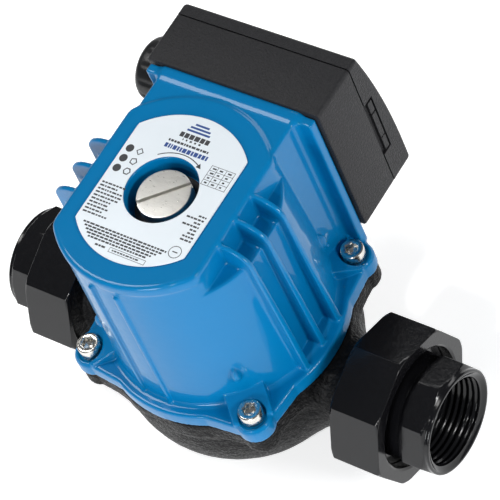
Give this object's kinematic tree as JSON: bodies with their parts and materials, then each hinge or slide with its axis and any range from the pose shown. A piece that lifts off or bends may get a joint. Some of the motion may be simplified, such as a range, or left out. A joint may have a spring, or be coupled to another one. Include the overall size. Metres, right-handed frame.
{
  "type": "circulator pump",
  "caption": "Wet-rotor heating circulator pump: finned motor housing on a cast volute, union nuts and threaded tailpieces on both ports, terminal box with cable gland.",
  "frame": {"origin": "centre of the volute's flat base, on the motor axis", "axes": "+Z along the motor axis from the base to the vent plug, +X along the pipe towards the outlet union, +Y towards the terminal box"},
  "size_m": [0.182, 0.1242, 0.1267],
  "materials": {
    "cast_iron": "rough sand-cast iron under thin black gloss paint",
    "blue_paint": "gloss sky-blue paint on die-cast aluminium",
    "label": "satin silver-white printed film",
    "nickel": "brushed nickel plate on brass",
    "zinc_steel": "bright zinc-plated steel",
    "box_plastic": "charcoal moulded plastic with a fine spark-eroded grain",
    "gland_plastic": "smooth black polyamide",
    "union_black": "machined malleable iron with black gloss coating",
    "rubber": "matt black rubber",
    "stainless": "drawn stainless steel",
    "lamination": "stacked electrical steel",
    "copper": null,
    "ceramic": "ground ceramic",
    "cream_plastic": "moulded cream plastic"
  },
  "bodies": {
    "pump": {"volute_casing": "cast_iron", "volute_gasket": "rubber", "bearing_plate": "stainless", "front_bearing": "ceramic", "rear_bearing": "ceramic", "rear_bearing_holder": "stainless", "rotor_can": "stainless", "stator_core": "lamination", "front_winding": "copper", "rear_winding": "copper", "motor_housing": "blue_paint", "housing_screw_1": "zinc_steel", "housing_screw_2": "zinc_steel", "housing_screw_3": "zinc_steel", "housing_screw_4": "zinc_steel", "label_plate": "label", "terminal_box_base": "box_plastic", "box_screw_1": "zinc_steel", "box_screw_2": "zinc_steel", "earth_screw": "zinc_steel", "terminal_block": "cream_plastic", "capacitor": "box_plastic", "speed_switch": "cream_plastic", "gland_body": "gland_plastic", "gland_locknut": "gland_plastic", "inlet_union_gasket": "rubber", "outlet_union_gasket": "rubber"},
    "rotor": {"shaft": "ceramic", "rotor_core": "stainless", "impeller": "cream_plastic"},
    "vent_lift": {"vent_seal": "rubber"},
    "vent_turn": {"vent_plug": "nickel"},
    "cover": {"terminal_box_cover": "box_plastic", "cover_screw": "zinc_steel"},
    "speed_selector": {"speed_knob": "box_plastic"},
    "gland_lift": {"gland_seal": "rubber"},
    "gland_turn": {"gland_nut": "gland_plastic"},
    "inlet_tail": {"inlet_tailpiece": "union_black"},
    "inlet_nut": {"inlet_union_nut": "union_black"},
    "outlet_tail": {"outlet_tailpiece": "union_black"},
    "outlet_nut": {"outlet_union_nut": "union_black"}
  },
  "joints": [
    {"name": "rotor_spin", "type": "hinge", "parent": "pump", "child": "rotor", "pos_m": [0, 0, 0.07], "axis": [0, 0, 1], "continuous": true},
    {"name": "vent_travel", "type": "slide", "parent": "pump", "child": "vent_lift", "axis": [0, 0, 1], "range_m": [0, 0.006]},
    {"name": "vent_turn", "type": "hinge", "parent": "vent_lift", "child": "vent_turn", "pos_m": [0, 0, 0.118], "axis": [0, 0, 1], "range_deg": [0, 1440]},
    {"name": "gland_travel", "type": "slide", "parent": "pump", "child": "gland_lift", "axis": [-1, 0, 0], "range_m": [0, 0.006]},
    {"name": "gland_turn", "type": "hinge", "parent": "gland_lift", "child": "gland_turn", "pos_m": [-0.045, 0.0555, 0.1], "axis": [-1, 0, 0], "range_deg": [0, 1440]},
    {"name": "inlet_union_travel", "type": "slide", "parent": "pump", "child": "inlet_tail", "axis": [-1, 0, 0], "range_m": [0, 0.00924]},
    {"name": "inlet_union_turn", "type": "hinge", "parent": "inlet_tail", "child": "inlet_nut", "pos_m": [-0.066, 0, 0.033], "axis": [-1, 0, 0], "range_deg": [0, 1440]},
    {"name": "outlet_union_travel", "type": "slide", "parent": "pump", "child": "outlet_tail", "axis": [1, 0, 0], "range_m": [0, 0.00924]},
    {"name": "outlet_union_turn", "type": "hinge", "parent": "outlet_tail", "child": "outlet_nut", "pos_m": [0.066, 0, 0.033], "axis": [1, 0, 0], "range_deg": [0, 1440]},
    {"name": "cover_lift", "type": "slide", "parent": "pump", "child": "cover", "axis": [0, 1, 0], "range_m": [0, 0.04]},
    {"name": "speed_select", "type": "hinge", "parent": "pump", "child": "speed_selector", "pos_m": [0, 0.07, 0.083], "axis": [0, 1, 0], "range_deg": [-60, 60]}
  ],
  "couplings": [
    {"joint": "vent_travel", "follows": "vent_turn", "m_per_rad": 0.00023873},
    {"joint": "gland_travel", "follows": "gland_turn", "m_per_rad": 0.00023873},
    {"joint": "inlet_union_travel", "follows": "inlet_union_turn", "m_per_rad": 0.00036749},
    {"joint": "outlet_union_travel", "follows": "outlet_union_turn", "m_per_rad": 0.00036749}
  ]
}
